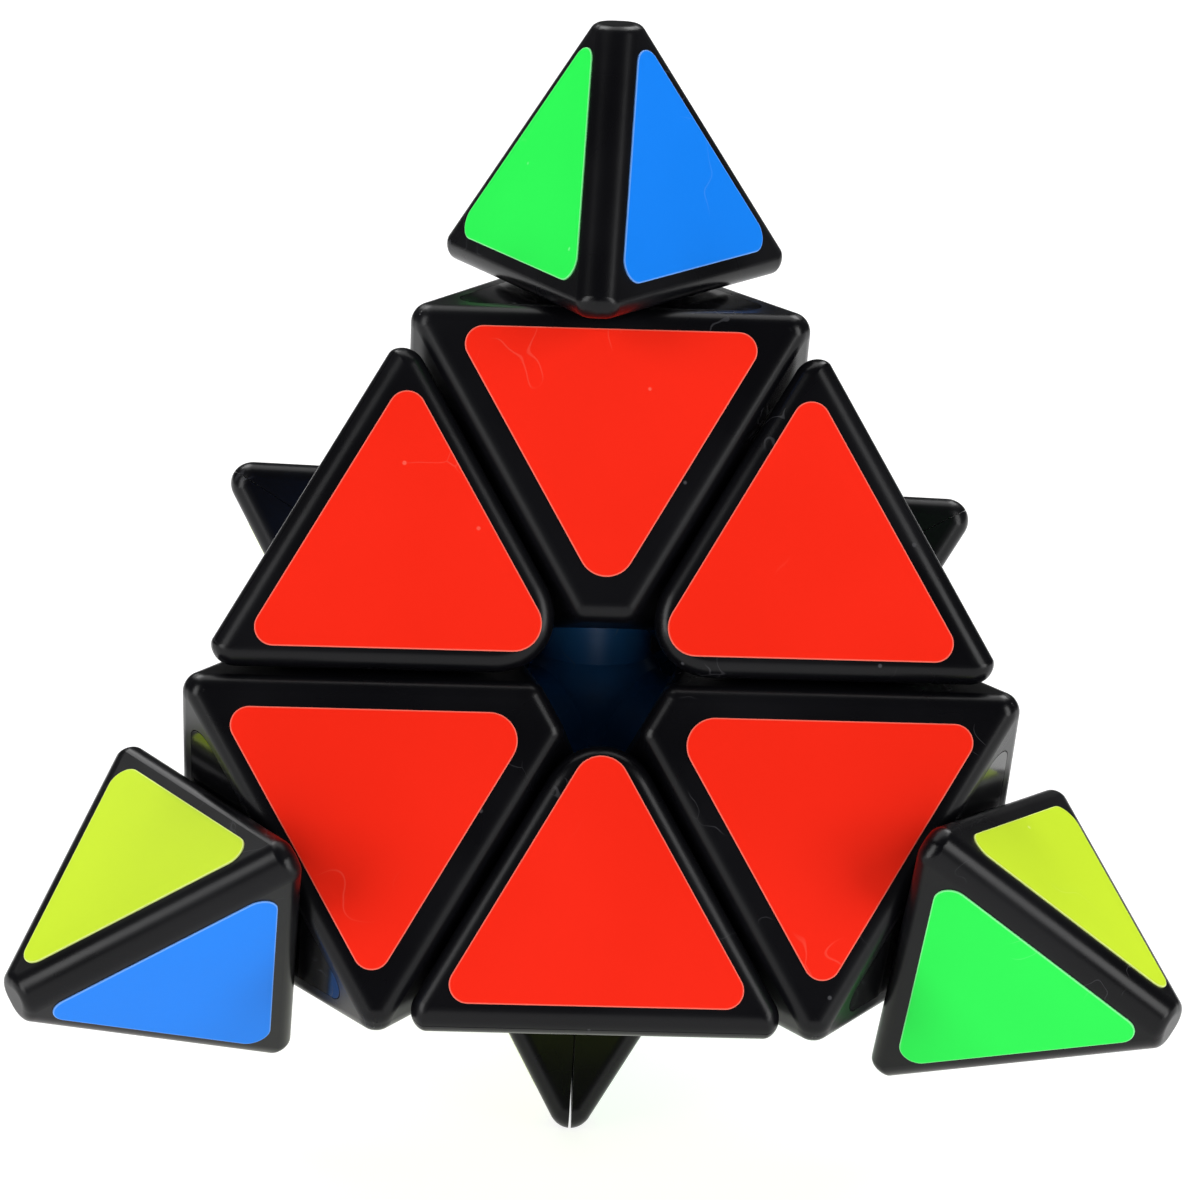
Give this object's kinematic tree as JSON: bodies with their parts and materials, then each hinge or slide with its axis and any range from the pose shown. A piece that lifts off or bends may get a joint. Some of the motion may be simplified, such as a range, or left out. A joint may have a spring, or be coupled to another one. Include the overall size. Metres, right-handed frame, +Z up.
{
  "type": "pyramid twisty puzzle",
  "caption": "Tetrahedral twisty puzzle with stickered black shells, four turning tips and a turning rear layer on a sprung core.",
  "frame": {"origin": "Centre of the core ball, where the four turning axes meet.", "axes": "+Z runs up through the top tip, -Y towards the front red face, +X to the right when looking at the front face."},
  "size_m": [0.0988, 0.0887, 0.0979],
  "materials": {
    "core_blue": "glossy moulded dark blue plastic",
    "screw_steel": "plain zinc plated screws",
    "washer_steel": "stamped flat washers",
    "spring_steel": "drawn spring wire",
    "gloss_black": "glossy black plastic with fine rub marks",
    "black_plastic": "satin black plastic",
    "sticker_red": "fluorescent red vinyl film",
    "sticker_blue": "bright blue vinyl film",
    "sticker_green": "fluorescent green vinyl film",
    "sticker_yellow": "fluorescent yellow vinyl film"
  },
  "bodies": {
    "core": {"cap_left": "gloss_black", "cap_right": "gloss_black", "cap_top": "gloss_black", "core_spider": "core_blue", "corner_left": "black_plastic", "corner_right": "black_plastic", "corner_top": "black_plastic", "edge_left_right_red": "black_plastic", "edge_left_right_yellow": "black_plastic", "edge_top_left_blue": "black_plastic", "edge_top_left_red": "black_plastic", "edge_top_right_green": "black_plastic", "edge_top_right_red": "black_plastic", "screws": "screw_steel", "spring_left": "spring_steel", "spring_rear": "spring_steel", "spring_right": "spring_steel", "spring_top": "spring_steel", "stickers_blue": "sticker_blue", "stickers_green": "sticker_green", "stickers_red": "sticker_red", "stickers_yellow": "sticker_yellow", "washers": "washer_steel"},
    "rear_layer": {"cap_rear": "gloss_black", "corner_rear": "black_plastic", "edge_rear_left_blue": "black_plastic", "edge_rear_left_yellow": "black_plastic", "edge_rear_right_green": "black_plastic", "edge_rear_right_yellow": "black_plastic", "edge_rear_top_blue": "black_plastic", "edge_rear_top_green": "black_plastic", "rear_stickers_blue": "sticker_blue", "rear_stickers_green": "sticker_green", "rear_stickers_yellow": "sticker_yellow"},
    "tip_top": {"tip_base_top": "gloss_black", "tip_top": "black_plastic", "tip_top_blue": "sticker_blue", "tip_top_green": "sticker_green", "tip_top_red": "sticker_red"},
    "tip_left": {"tip_base_left": "gloss_black", "tip_left": "black_plastic", "tip_left_blue": "sticker_blue", "tip_left_red": "sticker_red", "tip_left_yellow": "sticker_yellow"},
    "tip_right": {"tip_base_right": "gloss_black", "tip_right": "black_plastic", "tip_right_green": "sticker_green", "tip_right_red": "sticker_red", "tip_right_yellow": "sticker_yellow"},
    "tip_rear": {"tip_base_rear": "gloss_black", "tip_rear": "black_plastic", "tip_rear_blue": "sticker_blue", "tip_rear_green": "sticker_green", "tip_rear_yellow": "sticker_yellow"}
  },
  "joints": [
    {"name": "rear_layer", "type": "hinge", "parent": "core", "child": "rear_layer", "pos_m": [0, 0, 0], "axis": [0, 0.9428, -0.3333], "continuous": true},
    {"name": "tip_top", "type": "hinge", "parent": "core", "child": "tip_top", "pos_m": [0, 0, 0.03664], "axis": [0, 0, 1], "continuous": true},
    {"name": "tip_left", "type": "hinge", "parent": "core", "child": "tip_left", "pos_m": [-0.02992, -0.01727, -0.01221], "axis": [-0.8165, -0.4714, -0.3333], "continuous": true},
    {"name": "tip_right", "type": "hinge", "parent": "core", "child": "tip_right", "pos_m": [0.02992, -0.01727, -0.01221], "axis": [0.8165, -0.4714, -0.3333], "continuous": true},
    {"name": "tip_rear", "type": "hinge", "parent": "rear_layer", "child": "tip_rear", "pos_m": [0, 0.03454, -0.01221], "axis": [0, 0.9428, -0.3333], "continuous": true}
  ]
}
